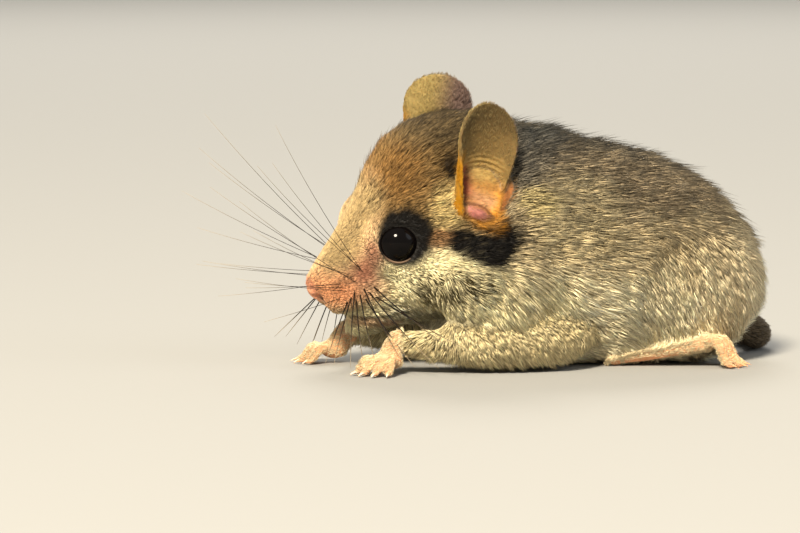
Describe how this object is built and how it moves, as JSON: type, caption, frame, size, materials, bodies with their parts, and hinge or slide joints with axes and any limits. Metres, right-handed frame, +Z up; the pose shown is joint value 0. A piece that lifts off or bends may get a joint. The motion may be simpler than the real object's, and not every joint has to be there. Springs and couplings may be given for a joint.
{
  "type": "garden dormouse model",
  "caption": "Life-size still model of a young garden dormouse, crouched on its belly with forepaws forward, wide upright ears, long whiskers and a brush-tipped tail.",
  "frame": {"origin": "middle of the flat that the belly rests on, at floor level", "axes": "-X towards the nose, -Y towards the animal's left side, +Z up"},
  "size_m": [0.103, 0.07, 0.0476],
  "materials": {
    "head_coat": "dense short fur, warm brown crown, cream cheeks, black mask",
    "body_coat": "dense fur, grey-brown back, cream belly",
    "leg_coat": "short cream to tan fur",
    "bare_skin": "pink skin with fine pale hair",
    "nose_skin": "bare pink-orange skin",
    "whisker_pad": "very short cream fur with long whiskers",
    "ear_skin": "thin, nearly bare, translucent tan skin",
    "eye": "wet gloss black",
    "tail_coat": "short dense grey-brown hair",
    "brush_hair": "long hair, black above and white at the tip"
  },
  "bodies": {
    "root": {"head": "head_coat", "neck": "body_coat", "torso": "body_coat", "foreleg_left": "leg_coat", "foreleg_right": "leg_coat", "hind_leg_left": "leg_coat", "hind_leg_right": "leg_coat", "forepaw_left": "bare_skin", "forepaw_right": "bare_skin", "hind_foot_left": "bare_skin", "hind_foot_right": "bare_skin", "nose": "nose_skin", "whisker_pad_left": "whisker_pad", "whisker_pad_right": "whisker_pad", "ear_left": "ear_skin", "ear_right": "ear_skin", "eye_left": "eye", "eye_right": "eye", "tail_base": "tail_coat", "tail_middle": "tail_coat", "tail_brush": "brush_hair"}
  },
  "joints": []
}
